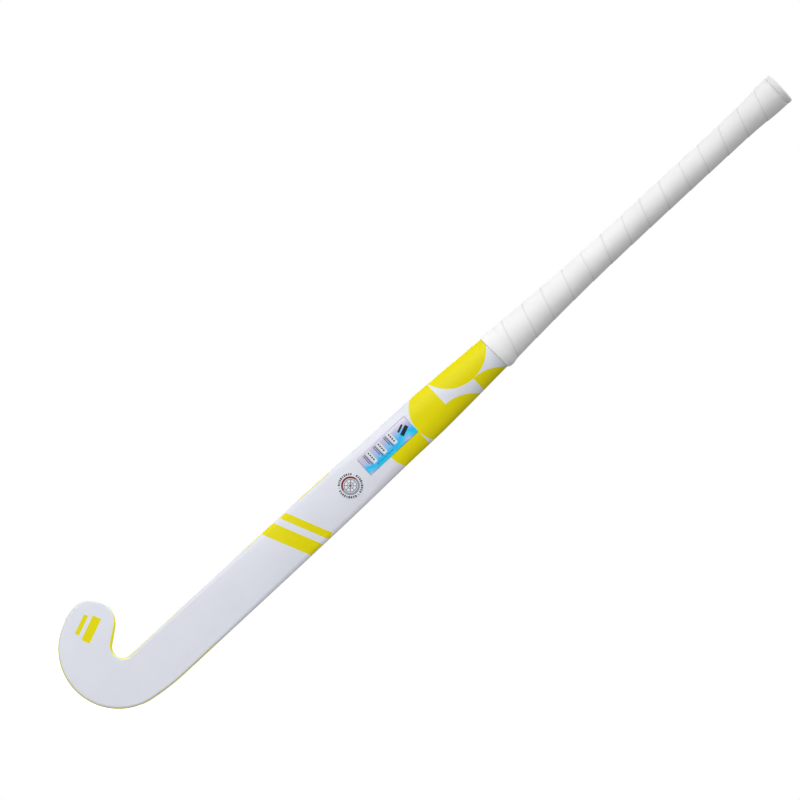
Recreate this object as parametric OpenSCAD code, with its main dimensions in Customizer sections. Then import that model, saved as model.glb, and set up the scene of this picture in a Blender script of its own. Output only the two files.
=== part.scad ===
// Field hockey stick, held upright: the shaft runs up +Z, the playing face looks along -Y
// and the toe of the hook points along -X. The origin is on the handle's centreline, where
// the upper hand holds. Heights in this file are measured up from the lowest point of the hook.

/* [Overall] */
// Length from the lowest point of the hook to the butt end
stick_length = 927; // [880:1:960]
// Distance from the butt end down to the middle of the upper hand's hold
hold_from_butt = 100; // [70:1:150]
// Lean of the head towards the playing side, in degrees
head_lean = 11; // [5:0.5:12]

/* [Hook] */
// Radius of the outer edge of the hook
hook_outer_r = 60.5; // [56:0.5:64]
// Radius of the throat inside the hook
throat_r = 11; // [9:0.5:13]
// Height of the throat's centre
throat_h = 64.5; // [62:0.5:67]
// Radius of the round toe
toe_r = 24; // [22:0.5:25]
// Turn of the outer edge from the heel to the toe, in degrees
hook_turn = 174; // [168:1:178]
// Distance from the shaft's centreline to the back of the heel
heel_x = 22.5; // [21:0.5:24]
// Turn of the outer edge, below the heel, where it starts to widen into the blade, in degrees
heel_turn = 10; // [7:1:14]

/* [Blade and shaft] */
// Full width of the blade
blade_w = 50.5; // [46:0.5:51]
// Depth of the head, from the playing face to the back
head_depth = 20; // [18:0.5:24]
// Radius of the edges beside the playing face
edge_r = 3; // [2:0.5:4]
// Width of the laminate in the handle, under the grip
handle_w = 27.4; // [25:0.2:29]
// Extra width of the laminate at the butt
butt_flare = 4.6; // [2:0.2:6]
// Thickness of the outer laminate
wall = 2; // [1.5:0.1:2.5]
// Thickness of each inner tube
tube_wall = 1; // [0.8:0.1:1.5]

/* [Grip] */
// Height where the grip starts
grip_start = 536; // [500:1:560]
// Width of the finishing band at the lower end of the grip
band_w = 11; // [8:1:20]
// Thickness of the self-adhesive underlay
underlay_t = 0.3; // [0.2:0.1:0.5]
// Thickness of the grip tape
tape_t = 1; // [0.8:0.1:2]
// Height of the butt cap's rim
cap_h = 6; // [4:1:10]

/* [Labels] */
// Radius of the round seal
seal_r = 13; // [8:0.5:14]
// Height of the seal's centre
seal_h = 340; // [320:1:345]
// Width of the foil label
foil_w = 21.4; // [14:0.2:22]
// Length of the foil label
foil_l = 65; // [40:1:66]

/* [Hidden] */

// Heights along the stick
base_z = hold_from_butt - stick_length;
core_top = 84;
band_top = grip_start + band_w;
tube_top = stick_length - 44;
cap_seat = stick_length - cap_h;
bend_low = 90;
bend_top = 290;
oval_from = 330;
oval_to = 480;
round_from = 430;
round_to = 690;
neck_top = 95;

// Section of the blade, front to back, about the shaft's centreline
face_y = head_depth / 2;
blade_back_y = face_y + 1;
blade_bulge = 2.5;
least_corner = 0.8;
corner_steps = 4;
back_steps = 12;
half_ring = 1 + corner_steps + back_steps / 2;

// The hook: centres of its three circles, and the straight edge that joins throat to toe
outer_centre = [heel_x - hook_outer_r, hook_outer_r];
throat_centre = [-blade_w / 2 - throat_r, throat_h];
toe_centre = outer_centre + (hook_outer_r - toe_r) * unit(-hook_turn);
toe_to_throat = throat_centre - toe_centre;
edge_angle = atan2(toe_to_throat[1], toe_to_throat[0])
    + acos((throat_r + toe_r) / norm(toe_to_throat));
edge_normal = unit(edge_angle);
toe_axis = unit(edge_angle + 90);
edge_length = sqrt(pow(norm(toe_to_throat), 2) - pow(throat_r + toe_r, 2));
bend_end = edge_angle - 180;
toe_tangent = 360 - hook_turn - edge_angle - 90;
bend_steps = 16;
toe_steps = 8;
edge_steps = 3;

// The heel's edge: it leaves the hook's circle at heel_turn and ends upright at the blade's edge
heel_low = hook_outer_r * (1 - sin(heel_turn));
heel_gap = blade_w / 2 - heel_x + hook_outer_r * (1 - cos(heel_turn));
heel_top = heel_low + 2 * heel_gap / tan(heel_turn);

// Width of the laminate, as [height, width]
WIDTHS = [
    [neck_top, blade_w],
    [300, blade_w - 0.5],
    [400, blade_w - 3.7],
    [450, blade_w - 4.5],
    [540, 38],
    [620, 30.5],
    [round_to, handle_w],
    [stick_length - 65, handle_w],
    [stick_length - 42, handle_w + 0.25 * butt_flare],
    [stick_length - 22, handle_w + 0.87 * butt_flare],
    [cap_seat, handle_w + butt_flare]
];

// Butt cap and its plug
butt_r = (handle_w + butt_flare) / 2 + underlay_t + tape_t;
cap_edge_r = 2;
spigot_r = 6;
spigot_h = 24;

// Labels: thickness of a decal, its gap to the lacquer and the foil label's place on the face
decal_t = 0.12;
decal_gap = 0.05;
foil_x = -4.4;
foil_h = 394.5;
foil_columns = 6;
foil_rows = 5;

function unit(angle) = [cos(angle), sin(angle)];
function mix(a, b, t) = a + (b - a) * t;
function share(h, low, high) = min(1, max(0, (h - low) / (high - low)));
function ease(t) = t * t * (3 - 2 * t);
function steps(low, high, n) = [for (i = [0 : n]) mix(low, high, i / n)];

// A smooth curve through a table of [height, value]
function slope(table, i) = i <= 0 || i >= len(table) - 1 ? 0
    : (table[i + 1][1] - table[i - 1][1]) / (table[i + 1][0] - table[i - 1][0]);
function piece_at(table, h, i = 0) =
    i >= len(table) - 2 || h < table[i + 1][0] ? i : piece_at(table, h, i + 1);
function cubic(a, b, slope_a, slope_b, t) =
    a + (b - a) * ease(t) + slope_a * t * pow(1 - t, 2) - slope_b * t * t * (1 - t);
function along(table, h) =
    let (
        i = piece_at(table, h),
        span = table[i + 1][0] - table[i][0],
        t = min(1, max(0, (h - table[i][0]) / span))
    )
    cubic(table[i][1], table[i + 1][1], span * slope(table, i), span * slope(table, i + 1), t);

// The bow: every level of the stick moves towards the playing side, in one plane below
// bend_low and on a constant curve up to bend_top
function bow(h) =
    let (lean = tan(head_lean), span = bend_top - bend_low)
    h >= bend_top ? 0
    : h >= bend_low ? -lean * pow(bend_top - h, 2) / (2 * span)
    : -lean * (span / 2 + bend_low - h);
function place(x, y, h) = [x, y + bow(h), h + base_z];

// A rib is one section: [toe-side edge, heel-side edge, y of the widest level, corner width,
// depth in front of that level, depth behind it, fullness of the back]
function flat_rib(inner, outer, inset, front_share = 1, back_share = 1) =
    let (corner = max(edge_r - inset, least_corner), level = edge_r - face_y)
    [inner, outer, level, corner, corner * front_share,
        (2 * face_y - edge_r - inset) * back_share, blade_bulge];

// Round end of the toe, from near the tip to the straight edge, along the toe's own axis
function toe_outer(s, r, inset) =
    let (
        q = toe_centre + s * toe_axis - outer_centre,
        side = q * edge_normal,
        reach = hook_outer_r - inset
    )
    s > r * cos(toe_tangent) ? -sqrt(r * r - s * s)
    : -side - sqrt(side * side - q * q + reach * reach);
function toe_rib(s, inset) =
    let (
        r = toe_r - inset,
        corner = max(edge_r - inset, least_corner),
        inner = s > 0 ? sqrt(r * r - s * s) : r,
        near_tip = share(s, r - corner, r)
    )
    flat_rib(
        toe_centre + s * toe_axis + inner * edge_normal,
        toe_centre + s * toe_axis + toe_outer(s, r, inset) * edge_normal,
        inset,
        sqrt(1 - near_tip * near_tip),
        s > 0 ? pow(1 - pow(s / r, blade_bulge), 1 / blade_bulge) : 1
    );
function toe_tip(inset) =
    let (tip = toe_centre + (toe_r - inset) * toe_axis)
    place(tip[0], edge_r - face_y, tip[1]);
function toe_ribs(inset) = concat(
    [for (i = [toe_steps : -1 : 1]) toe_rib((toe_r - inset) * sin(90 * i / (toe_steps + 1)), inset)],
    [for (i = [0 : edge_steps - 1]) toe_rib(-edge_length * i / edge_steps, inset)]
);

// The bend, from the end of the straight edge round to the heel
function short_of_blade(h) = heel_gap * pow(1 - share(h, heel_low, heel_top), 2);
function bend_outer(angle) =
    let (p = outer_centre + hook_outer_r * unit(angle))
    angle > -heel_turn ? [blade_w / 2 - short_of_blade(p[1]), p[1]] : p;
function bend_rib(angle, inset) = flat_rib(
    throat_centre + (throat_r + inset) * unit(angle),
    bend_outer(angle) - inset * unit(angle),
    inset
);
function bend_ribs(inset) =
    [for (i = [bend_steps : -1 : 0]) bend_rib(bend_end * i / bend_steps, inset)];

// The shaft: flat-faced in the blade, oval towards the grip, round in the handle
function front_y(h) = mix(face_y, along(WIDTHS, h) / 2, ease(share(h, round_from, round_to)));
function back_y(h) = mix(
    mix(face_y, blade_back_y, ease(share(h, neck_top, bend_top))),
    along(WIDTHS, h) / 2,
    ease(share(h, round_from, round_to))
);
function shaft_rib(h, inset) =
    let (
        oval = ease(share(h, oval_from, oval_to)),
        side = along(WIDTHS, h) / 2,
        heel = side - short_of_blade(h),
        front = mix(edge_r, front_y(h), oval),
        level = front - front_y(h)
    )
    [
        [inset - side, h],
        [heel - inset, h],
        level,
        max(mix(edge_r, side, oval) - inset, least_corner),
        max(front - inset, least_corner),
        back_y(h) - level - inset,
        mix(blade_bulge, 2, oval)
    ];

// Stations up the shaft, shared by every piece so that neighbours meet face to face
BLADE_HEIGHTS = steps(core_top, grip_start, 22);
HANDLE_HEIGHTS = steps(band_top, tube_top, 14);
PLUG_HEIGHTS = steps(tube_top, cap_seat, 4);
GRIP_HEIGHTS = concat(HANDLE_HEIGHTS, [for (i = [1 : 4]) PLUG_HEIGHTS[i]]);
TUBE_HEIGHTS = concat(BLADE_HEIGHTS, HANDLE_HEIGHTS);
HEEL_HEIGHTS = [72];
SHAFT_HEIGHTS = concat(HEEL_HEIGHTS, BLADE_HEIGHTS, GRIP_HEIGHTS);

// Points of one section, counter-clockwise seen from above, starting mid-face
function section(rib) =
    let (
        half = norm(rib[1] - rib[0]) / 2,
        level = rib[2],
        corner = min(rib[3], half),
        power = 2 / rib[6],
        side = [for (i = [0 : corner_steps]) 90 * i / corner_steps]
    )
    concat(
        [[0, level - rib[4]]],
        [for (t = side) [half - corner * (1 - sin(t)), level - rib[4] * cos(t)]],
        [for (i = [1 : back_steps - 1])
            let (t = 180 * i / back_steps)
            [half * sign(cos(t)) * pow(abs(cos(t)), power), level + rib[5] * pow(sin(t), power)]],
        [for (i = [corner_steps : -1 : 0])
            [corner * (1 - sin(side[i])) - half, level - rib[4] * cos(side[i])]]
    );
function ring_from(rib, points) =
    let (middle = (rib[0] + rib[1]) / 2, across = (rib[1] - rib[0]) / norm(rib[1] - rib[0]))
    [for (p = points) place(middle[0] + p[0] * across[0], p[1], middle[1] + p[0] * across[1])];
function ring(rib) = ring_from(rib, section(rib));
function flat(lists) = [for (list = lists) each list];

// Two triangles for each cell between one ring of n points and the next, facing out or in
function cells(rings, n, first, outward = true) = [
    for (k = [0 : rings - 2], j = [0 : n - 1])
        let (
            a = first + k * n + j,
            b = first + k * n + (j + 1) % n
        )
        each outward ? [[a + n, b + n, a], [b + n, b, a]] : [[a, b + n, a + n], [a, b, b + n]]
];
// Triangles from one ring to a single point: below the ring, or above it
function tip_cells(n, first, tip, below = true) =
    [for (j = [0 : n - 1])
        let (a = first + j, b = first + (j + 1) % n)
        below ? [a, b, tip] : [b, a, tip]];
function middle(ring) = (ring[0] + ring[half_ring]) / 2;
function rim_cells(n, outer, inner, up = true) = [
    for (j = [0 : n - 1])
        let (j_next = (j + 1) % n, a = outer + j, b = outer + j_next, c = inner + j_next, d = inner + j)
        each up ? [[a, d, c], [a, c, b]] : [[a, c, d], [a, b, c]]
];

// A solid between rings, closed flat at both ends
module loft(rings) {
    n = len(rings[0]);
    count = len(rings) * n;
    polyhedron(
        concat(flat(rings), [middle(rings[0]), middle(rings[len(rings) - 1])]),
        concat(
            cells(len(rings), n, 0),
            tip_cells(n, 0, count),
            tip_cells(n, count - n, count + 1, false)
        )
    );
}

// A tube between outer and inner rings, open at both ends
module sleeve(outer, inner) {
    n = len(outer[0]);
    count = len(outer) * n;
    last = count - n;
    polyhedron(
        concat(flat(outer), flat(inner)),
        concat(
            cells(len(outer), n, 0),
            cells(len(inner), n, count, false),
            rim_cells(n, 0, count, false),
            rim_cells(n, last, count + last)
        )
    );
}

function hook_rings(inset) = [for (rib = concat(toe_ribs(inset), bend_ribs(inset))) ring(rib)];
function shaft_rings(heights, inset) = [for (h = heights) ring(shaft_rib(h, inset))];

// Outer laminate: a hollow D-section that turns round the hook and ends open at the butt
module composite_shell() {
    outer = concat(hook_rings(0), shaft_rings(SHAFT_HEIGHTS, 0));
    inner = concat(hook_rings(wall), shaft_rings(SHAFT_HEIGHTS, wall));
    n = len(outer[0]);
    count = len(outer) * n;
    last = count - n;
    color("white") polyhedron(
        concat(flat(outer), flat(inner), [toe_tip(0), toe_tip(wall)]),
        concat(
            cells(len(outer), n, 0),
            cells(len(inner), n, count, false),
            tip_cells(n, 0, 2 * count),
            tip_cells(n, count, 2 * count + 1, false),
            rim_cells(n, last, count + last)
        )
    );
}

// Foam that fills the hook inside the laminate
module head_core() {
    rings = concat(hook_rings(wall), shaft_rings(concat(HEEL_HEIGHTS, [core_top]), wall));
    n = len(rings[0]);
    count = len(rings) * n;
    color("khaki") polyhedron(
        concat(flat(rings), [toe_tip(wall), middle(rings[len(rings) - 1])]),
        concat(
            cells(len(rings), n, 0),
            tip_cells(n, 0, count),
            tip_cells(n, count - n, count + 1, false)
        )
    );
}

// Half of a section on one side of the centre web, held off the web by a gap
function half_section(rib, heel_side, gap) =
    let (points = section(rib), n = len(points), first = heel_side ? 0 : half_ring)
    [for (j = [0 : half_ring])
        let (p = points[(first + j) % n])
        [heel_side ? max(p[0], gap) : min(p[0], -gap), p[1]]];
module inner_tube(heel_side) {
    outer = [for (h = TUBE_HEIGHTS)
        let (rib = shaft_rib(h, wall))
        ring_from(rib, half_section(rib, heel_side, 0))];
    inner = [for (h = TUBE_HEIGHTS)
        let (rib = shaft_rib(h, wall + tube_wall))
        ring_from(rib, half_section(rib, heel_side, tube_wall))];
    sleeve(outer, inner);
}

// Inner tubes, pressed together so that their flat sides form the centre web
module toe_side_tube() {
    color("dimgray") inner_tube(false);
}
module heel_side_tube() {
    color("gray") inner_tube(true);
}

// Foam plug in the open end of the handle, bored for the cap's spigot
module handle_plug() {
    color("burlywood") difference() {
        loft(shaft_rings(PLUG_HEIGHTS, wall));
        translate([0, 0, base_z + cap_seat - spigot_h])
            cylinder(h = spigot_h + 1, r = spigot_r, $fn = 64);
    }
}

// Butt cap: a rim as wide as the grip, a rounded top edge and a spigot into the plug
module butt_cap() {
    color("white") translate([0, 0, base_z + cap_seat]) {
        cylinder(h = cap_h - cap_edge_r, r = butt_r, $fn = 96);
        translate([0, 0, cap_h - cap_edge_r]) rotate_extrude($fn = 96) {
            square([butt_r - cap_edge_r, cap_edge_r]);
            translate([butt_r - cap_edge_r, 0]) intersection() {
                circle(r = cap_edge_r, $fn = 48);
                square(cap_edge_r);
            }
        }
        translate([0, 0, -spigot_h]) cylinder(h = spigot_h, r = spigot_r, $fn = 64);
    }
}

// Layers of the grip, one outside the other
module grip_underlay() {
    color("lightgray")
        sleeve(shaft_rings(GRIP_HEIGHTS, -underlay_t), shaft_rings(GRIP_HEIGHTS, 0));
}
module grip_tape() {
    color("whitesmoke") sleeve(
        shaft_rings(GRIP_HEIGHTS, -underlay_t - tape_t),
        shaft_rings(GRIP_HEIGHTS, -underlay_t)
    );
}
module grip_finishing_band() {
    heights = [grip_start, band_top];
    color("white")
        sleeve(shaft_rings(heights, -underlay_t - tape_t), shaft_rings(heights, 0));
}

// Decals on the playing side
function front_at(x, h) =
    let (
        rib = shaft_rib(h, 0),
        corner = rib[3],
        t = max(0, abs(x) - (rib[1][0] - corner)) / corner
    )
    rib[2] - rib[4] * sqrt(1 - t * t);
function foil_ring(h, lift) = [
    for (x = steps(foil_x - foil_w / 2, foil_x + foil_w / 2, foil_columns))
        place(x, front_at(x, h) - lift, h)
];
// One end of the label: a strip of cells between its front and its back
function foil_end(first, up) = [
    for (i = [0 : foil_columns - 1])
        let (a = first + i, d = first + 2 * foil_columns + 1 - i)
        each up ? [[a, d, d - 1], [a, d - 1, a + 1]] : [[a, d - 1, d], [a, a + 1, d - 1]]
];
module foil_label() {
    heights = steps(foil_h - foil_l / 2, foil_h + foil_l / 2, foil_rows);
    rings = [
        for (h = heights)
            let (front = foil_ring(h, decal_gap + decal_t), back = foil_ring(h, decal_gap))
            concat(front, [for (i = [foil_columns : -1 : 0]) back[i]])
    ];
    n = len(rings[0]);
    color("skyblue") polyhedron(
        flat(rings),
        concat(
            cells(len(rings), n, 0),
            foil_end(0, false),
            foil_end((len(rings) - 1) * n, true)
        )
    );
}
module round_seal() {
    color("lightgray") translate([0, -face_y, base_z + seal_h])
        rotate([90, 0, 0]) cylinder(h = decal_t, r = seal_r, $fn = 72);
}

composite_shell();
head_core();
toe_side_tube();
heel_side_tube();
handle_plug();
butt_cap();
grip_underlay();
grip_tape();
grip_finishing_band();
foil_label();
round_seal();
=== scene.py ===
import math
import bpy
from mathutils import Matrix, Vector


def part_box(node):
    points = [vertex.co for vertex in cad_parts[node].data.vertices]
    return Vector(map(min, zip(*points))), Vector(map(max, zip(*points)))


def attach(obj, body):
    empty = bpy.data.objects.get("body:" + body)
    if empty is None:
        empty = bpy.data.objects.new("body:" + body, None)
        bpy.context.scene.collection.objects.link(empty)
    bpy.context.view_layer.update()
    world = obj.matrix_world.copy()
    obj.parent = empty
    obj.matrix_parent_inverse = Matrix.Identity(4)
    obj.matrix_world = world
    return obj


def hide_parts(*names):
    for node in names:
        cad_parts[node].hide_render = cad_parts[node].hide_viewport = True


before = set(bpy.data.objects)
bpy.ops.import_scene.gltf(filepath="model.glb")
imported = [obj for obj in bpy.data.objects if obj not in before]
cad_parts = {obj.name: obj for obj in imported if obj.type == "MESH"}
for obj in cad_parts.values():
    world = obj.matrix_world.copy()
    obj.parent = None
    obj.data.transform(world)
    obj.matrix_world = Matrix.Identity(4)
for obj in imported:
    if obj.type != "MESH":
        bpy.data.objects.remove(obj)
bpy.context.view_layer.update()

# Field hockey stick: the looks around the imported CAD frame. Shapes are in millimetres, with heights
# above the hook's lowest point as in part.scad, until an object is made from them. The toe points
# along -X and the playing face looks along -Y.
from types import SimpleNamespace

import bpy
import numpy as np
from mathutils import Matrix, Vector

MM = 0.001

# Driving dimensions, the same as in part.scad
STICK_LENGTH = 927
HEAD_LEAN = 11
HOOK_OUTER_R = 60.5
THROAT_R = 11
THROAT_H = 64.5
TOE_R = 24
HOOK_TURN = 174
HEEL_X = 22.5
HEEL_TURN = 10
BLADE_W = 50.5
HEAD_DEPTH = 20
EDGE_R = 3
HANDLE_W = 27.4
BUTT_FLARE = 4.6
WALL = 2
LEAST_CORNER = 0.8
BEND_LOW, BEND_TOP = 90, 290
OVAL_FROM, OVAL_TO = 330, 480
ROUND_FROM, ROUND_TO = 430, 690
NECK_TOP = 95
FACE_Y = HEAD_DEPTH / 2
BLADE_BACK_Y = FACE_Y + 1
BLADE_BULGE = 2.5
# From SOFT_AT up the playing side is softer: its corners are this wide and deep, and a crown lowers
# its edges by a share of that depth
SHAFT_CORNER = 5
SHAFT_FRONT = 4.5
CROWN = 0.45
SOFT_AT = 260
UNDERLAY_T, TAPE_T = 0.3, 1.0
DECAL_GAP, DECAL_T = 0.05, 0.12
BASE_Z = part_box("butt_cap")[1].z / MM - STICK_LENGTH


def height_of(node, end):
    """Height of a CAD node's lower end (0) or upper end (1)"""
    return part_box(node)[end].z / MM - BASE_Z


GRIP_START = height_of("grip_finishing_band", 0)
BAND_TOP = height_of("grip_tape", 0)
CAP_SEAT = height_of("grip_tape", 1)

WIDTHS = [
    (NECK_TOP, BLADE_W), (300, BLADE_W - 0.5), (400, BLADE_W - 3.7), (450, BLADE_W - 4.5),
    (540, 38), (620, 30.5), (ROUND_TO, HANDLE_W),
    (STICK_LENGTH - 65, HANDLE_W),
    (STICK_LENGTH - 42, HANDLE_W + 0.25 * BUTT_FLARE),
    (STICK_LENGTH - 22, HANDLE_W + 0.87 * BUTT_FLARE),
    (CAP_SEAT, HANDLE_W + BUTT_FLARE),
]

# The lacquer lies this far inside the CAD surface, so the labels on it have room
SKIN_INSET = 0.05
# Distances between the ribs of the stick's outside and of its inside
OUTSIDE_STEP, INSIDE_STEP = 2.5, 7.5
# Points of one ring between the turns 0, 1, 2 and 4 that section() describes
FACE_STEPS, CORNER_STEPS, BACK_STEPS = 5, 6, 16
# Steps that slopes are measured over, and a wide one for where a section shrinks to nothing
TURN_STEP, STATION_STEP, WIDE_TURN_STEP = 0.02, 0.3, 1.2
# Points round the grip, the band and the cap, and their angles
COLUMNS = 96
ANGLES = np.arange(COLUMNS) * 360 / COLUMNS


def unit(angle):
    angle = np.radians(angle)
    return np.stack([np.cos(angle), np.sin(angle)], axis=-1)


def mix(a, b, t):
    return a + (b - a) * t


def share(value, low, high):
    return np.clip((value - low) / (high - low), 0, 1)


def ease(t):
    return t * t * (3 - 2 * t)


def along(table, h):
    """A smooth curve through a table of (height, value)"""
    heights, values = np.array(table, float).T
    slopes = np.zeros(len(heights))
    slopes[1:-1] = (values[2:] - values[:-2]) / (heights[2:] - heights[:-2])
    i = np.clip(np.searchsorted(heights, h, side="right") - 1, 0, len(heights) - 2)
    span = heights[i + 1] - heights[i]
    t = np.clip((h - heights[i]) / span, 0, 1)
    bend = slopes[i] * t * (1 - t) ** 2 - slopes[i + 1] * t * t * (1 - t)
    return mix(values[i], values[i + 1], ease(t)) + span * bend


def bow(h):
    """How far a level of the stick moves towards the playing side"""
    lean = math.tan(math.radians(HEAD_LEAN))
    span = BEND_TOP - BEND_LOW
    curve = (BEND_TOP - np.clip(h, BEND_LOW, BEND_TOP)) ** 2 / (2 * span)
    return -lean * (curve + np.maximum(BEND_LOW - h, 0))


# The hook: three circles and the straight edge from the throat to the toe
OUTER_CENTRE = np.array([HEEL_X - HOOK_OUTER_R, HOOK_OUTER_R])
THROAT_CENTRE = np.array([-BLADE_W / 2 - THROAT_R, THROAT_H])
TOE_CENTRE = OUTER_CENTRE + (HOOK_OUTER_R - TOE_R) * unit(-HOOK_TURN)
TO_THROAT = THROAT_CENTRE - TOE_CENTRE
TO_THROAT_LENGTH = math.hypot(*TO_THROAT)
EDGE_ANGLE = math.degrees(
    math.atan2(TO_THROAT[1], TO_THROAT[0]) + math.acos((THROAT_R + TOE_R) / TO_THROAT_LENGTH)
)
EDGE_NORMAL = unit(EDGE_ANGLE)
TOE_AXIS = unit(EDGE_ANGLE + 90)
EDGE_LENGTH = math.sqrt(TO_THROAT_LENGTH**2 - (THROAT_R + TOE_R) ** 2)
BEND_END = EDGE_ANGLE - 180
TOE_TANGENT = 360 - HOOK_TURN - EDGE_ANGLE - 90

# The heel's edge: it leaves the hook's circle at HEEL_TURN and ends upright at the blade's edge
HEEL_LOW = HOOK_OUTER_R * (1 - math.sin(math.radians(HEEL_TURN)))
HEEL_GAP = BLADE_W / 2 - HEEL_X + HOOK_OUTER_R * (1 - math.cos(math.radians(HEEL_TURN)))
HEEL_TOP = HEEL_LOW + 2 * HEEL_GAP / math.tan(math.radians(HEEL_TURN))


def stack_ribs(inner, outer, level, corner, front, back, fullness, crown=0.0):
    """Ribs as rows: both ends, level of the widest points, corner width, front and back depth,
    fullness of the back and crown of the front"""
    columns = [level, corner, front, back, fullness, crown]
    rows = [np.broadcast_to(column, len(inner)) for column in columns]
    return np.column_stack([inner, outer, *rows])


def flat_ribs(inner, outer, inset, front_share=1.0, back_share=1.0):
    corner = max(EDGE_R - inset, LEAST_CORNER)
    back = (2 * FACE_Y - EDGE_R - inset) * back_share
    return stack_ribs(
        inner, outer, EDGE_R - FACE_Y, corner, corner * front_share, back, BLADE_BULGE
    )


def to_outer_circle(middle, inset):
    """Way from points on the toe's axis, along its edge normal, to the hook's outer circle"""
    from_centre = middle - OUTER_CENTRE
    side = from_centre @ EDGE_NORMAL
    reach = HOOK_OUTER_R - inset
    return -side - np.sqrt(side**2 - (from_centre**2).sum(1) + reach**2)


def toe_ribs(inset, angles):
    """Round end of the toe, from the tip down to the straight edge"""
    r = TOE_R - inset
    s = r * np.sin(np.radians(angles))
    root = np.sqrt(np.maximum(r * r - s * s, 0))
    middle = TOE_CENTRE + s[:, None] * TOE_AXIS
    round_end = s > r * math.cos(math.radians(TOE_TANGENT))
    outer = np.where(round_end, -root, to_outer_circle(middle, inset))
    near_tip = share(s, r - max(EDGE_R - inset, LEAST_CORNER), r)
    return flat_ribs(
        middle + root[:, None] * EDGE_NORMAL,
        middle + outer[:, None] * EDGE_NORMAL,
        inset,
        np.sqrt(1 - near_tip**2),
        np.maximum(1 - (s / r) ** BLADE_BULGE, 0) ** (1 / BLADE_BULGE),
    )


def edge_ribs(inset, shares):
    """The straight edge between toe and throat"""
    middle = TOE_CENTRE - (EDGE_LENGTH * shares)[:, None] * TOE_AXIS
    inner = middle + (TOE_R - inset) * EDGE_NORMAL
    outer = middle + to_outer_circle(middle, inset)[:, None] * EDGE_NORMAL
    return flat_ribs(inner, outer, inset)


def short_of_blade(h):
    """How far the heel's edge still is from the blade's edge"""
    return HEEL_GAP * (1 - share(h, HEEL_LOW, HEEL_TOP)) ** 2


def bend_ribs(inset, angles):
    """The bend, from the end of the straight edge round to the heel"""
    outer = OUTER_CENTRE + HOOK_OUTER_R * unit(angles)
    heel = BLADE_W / 2 - short_of_blade(outer[:, 1])
    outer[:, 0] = np.where(angles > -HEEL_TURN, heel, outer[:, 0])
    inner = THROAT_CENTRE + (THROAT_R + inset) * unit(angles)
    return flat_ribs(inner, outer - inset * unit(angles), inset)


def shaft_ribs(inset, h):
    """The shaft: flat-faced in the blade, oval towards the grip, round in the handle"""
    outer_h = h - (THROAT_H - HOOK_OUTER_R) * (1 - ease(share(h, THROAT_H, NECK_TOP)))
    half = along(WIDTHS, h) / 2
    oval = ease(share(h, OVAL_FROM, OVAL_TO))
    rounding = ease(share(h, ROUND_FROM, ROUND_TO))
    heel = half - short_of_blade(outer_h)
    front_y = mix(FACE_Y, half, rounding)
    back_y = mix(FACE_Y, BLADE_BACK_Y, ease(share(h, NECK_TOP, BEND_TOP)))
    back_y = mix(back_y, half, rounding)
    soft = ease(share(h, NECK_TOP, SOFT_AT)) * (1 - inset / WALL)
    front = mix(mix(EDGE_R, SHAFT_FRONT, soft), front_y, oval)
    level = front - front_y
    return stack_ribs(
        np.column_stack([inset - half, h]),
        np.column_stack([heel - inset, outer_h]),
        level,
        np.maximum(mix(mix(EDGE_R, SHAFT_CORNER, soft), half, oval) - inset, LEAST_CORNER),
        np.maximum(front - inset, LEAST_CORNER),
        back_y - level - inset,
        mix(BLADE_BULGE, 2, oval),
        CROWN * soft * (1 - oval),
    )


def stick_ribs(inset, step):
    """Ribs from the toe's tip to the butt: a step apart, closer at the toe, wider under the grip"""
    toe_length = math.radians(90) * TOE_R
    toe = np.linspace(90, 0, round(2 * toe_length / step))[:-1]
    edge = np.linspace(0, 1, round(EDGE_LENGTH / step) + 1)[:-1]
    bend_length = math.radians(-BEND_END) * HOOK_OUTER_R
    bend = np.linspace(BEND_END, 0, round(bend_length / step) + 1)[:-1]
    seen = np.linspace(THROAT_H, BAND_TOP, round((BAND_TOP - THROAT_H) / step) + 1)[:-1]
    under_grip = np.linspace(BAND_TOP, CAP_SEAT, round((CAP_SEAT - BAND_TOP) / (4 * step)) + 1)
    return np.concatenate([
        toe_ribs(inset, toe),
        edge_ribs(inset, edge),
        bend_ribs(inset, bend),
        shaft_ribs(inset, np.concatenate([seen, under_grip])),
    ])


def section(rib, turn):
    """Point of a section, across it and in depth. Turn runs from 0 at mid-face, by 1 and 2 at the
    heel-side corner's ends, 4 at mid-back and 6 and 7 at the toe-side corner's, to 8"""
    half = np.hypot(rib[..., 2] - rib[..., 0], rib[..., 3] - rib[..., 1]) / 2
    level, front, back, fullness, crown = (rib[..., k] for k in (4, 6, 7, 8, 9))
    corner = np.minimum(rib[..., 5], half)
    heel_side = np.where(turn > 4, -1, 1)
    turn = np.where(turn > 4, 8 - turn, turn)
    at_corner = np.clip(turn - 1, 0, 1) * math.pi / 2
    at_back = np.clip(turn - 2, 0, 2) * math.pi / 4
    cosine, sine = np.maximum(np.cos(at_back), 0), np.sin(at_back)
    face_x = (half - corner) * np.clip(turn, 0, 1) + corner * np.sin(at_corner)
    crowned = front * (1 - crown * (face_x / np.maximum(half, 1e-9)) ** 2)
    x = np.where(turn < 2, face_x, half * cosine ** (2 / fullness))
    depth = np.where(
        turn < 2, level - crowned * np.cos(at_corner), level + back * sine ** (2 / fullness)
    )
    return heel_side * x, depth


def rib_at(ribs, station):
    stations = np.arange(len(ribs))
    return np.stack([np.interp(station, stations, column) for column in ribs.T], axis=-1)


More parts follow.
